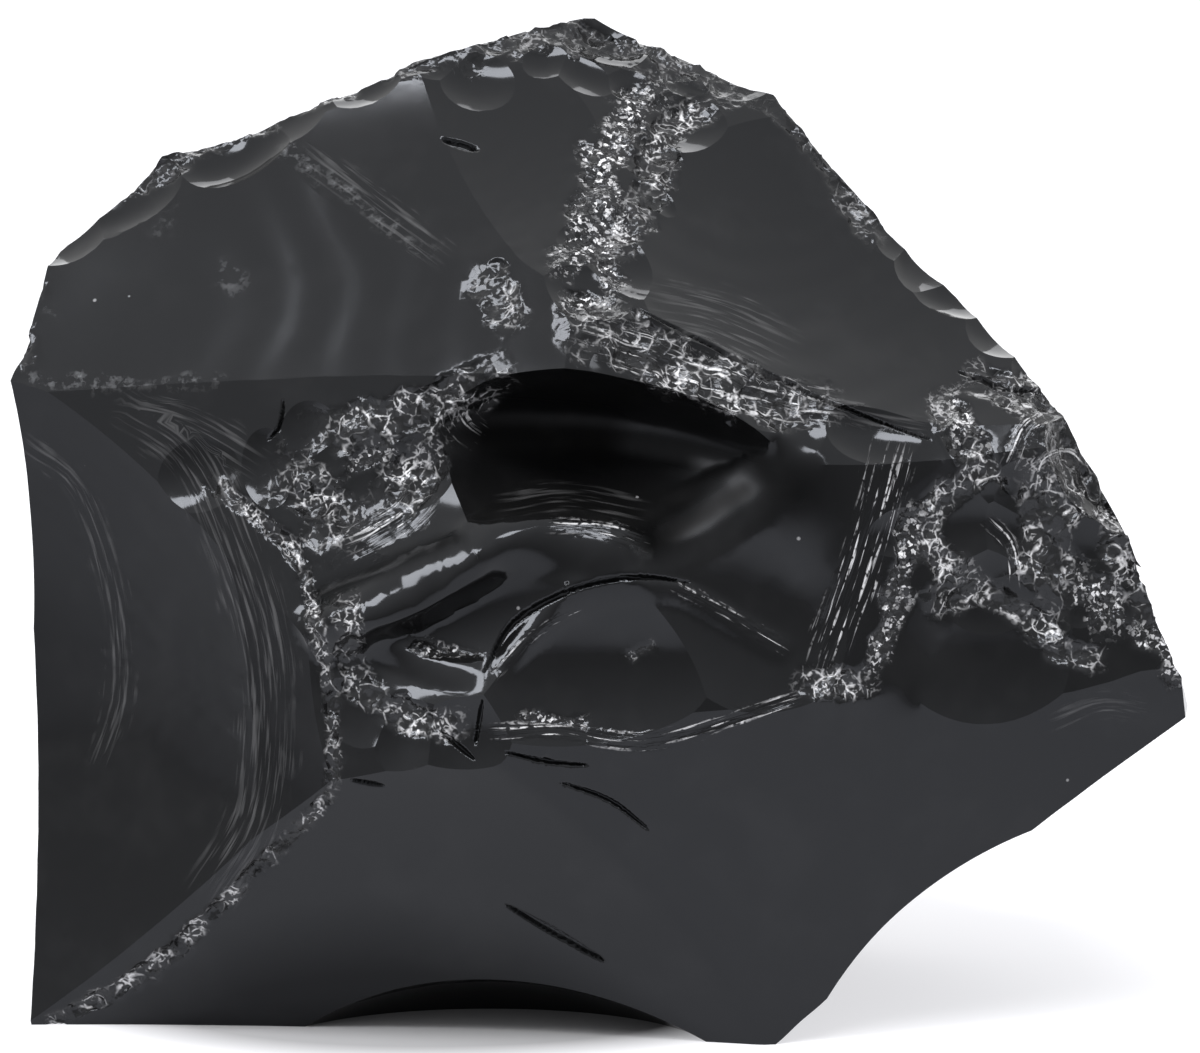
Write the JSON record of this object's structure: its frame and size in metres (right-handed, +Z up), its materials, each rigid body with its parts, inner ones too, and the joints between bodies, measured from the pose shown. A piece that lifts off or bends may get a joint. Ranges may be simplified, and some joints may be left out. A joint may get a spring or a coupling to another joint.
{
  "type": "obsidian chunk",
  "caption": "Fist-sized raw chunk of black volcanic glass with curved glossy fracture faces, sharp ridges and crushed rough edges, standing on a flat base.",
  "frame": {"origin": "on the flat resting face, under the middle of the chunk", "axes": "+X to the right along the chunk's width, -Y out of its broad front face, +Z up from the resting face"},
  "size_m": [0.089, 0.0519, 0.0743],
  "materials": {
    "black_glass": "polished"
  },
  "bodies": {
    "root": {"obsidian_chunk": "black_glass"}
  },
  "joints": []
}
